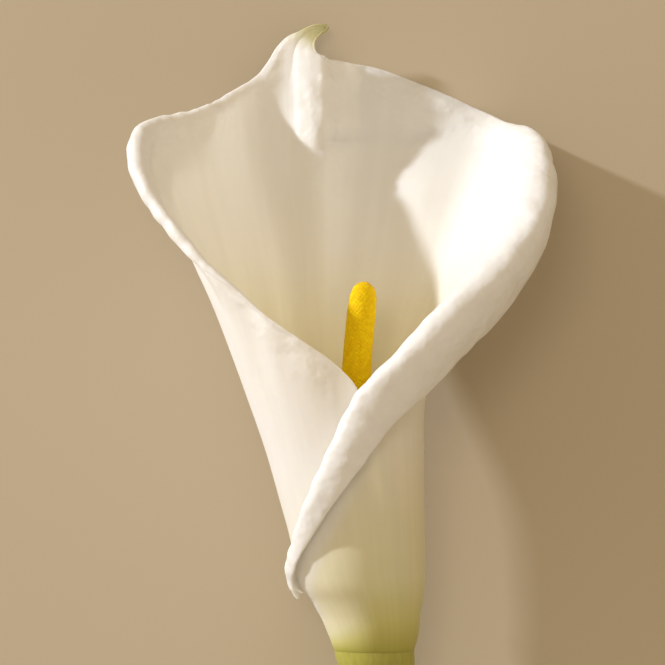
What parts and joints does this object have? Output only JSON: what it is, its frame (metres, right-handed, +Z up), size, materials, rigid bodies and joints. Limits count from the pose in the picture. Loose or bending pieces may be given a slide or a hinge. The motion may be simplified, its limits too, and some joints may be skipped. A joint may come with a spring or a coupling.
{
  "type": "arum lily flower",
  "caption": "Cut arum lily flower laid on its back: a white funnel-shaped spathe rolled round a slim yellow spadix, on a short green stem.",
  "frame": {"origin": "centre of the bounding box, on the surface that the flower lies on", "axes": "+X to the right of someone looking into the mouth, +Y from the stem's cut end to the spathe's tip, +Z up, out of the mouth"},
  "size_m": [0.1164, 0.2918, 0.0703],
  "materials": {
    "spathe": "waxy, satin",
    "florets": "grainy, matte",
    "stem": "smooth, satin"
  },
  "bodies": {
    "root": {"spathe": "spathe", "spadix": "florets", "stem": "stem"}
  },
  "joints": []
}
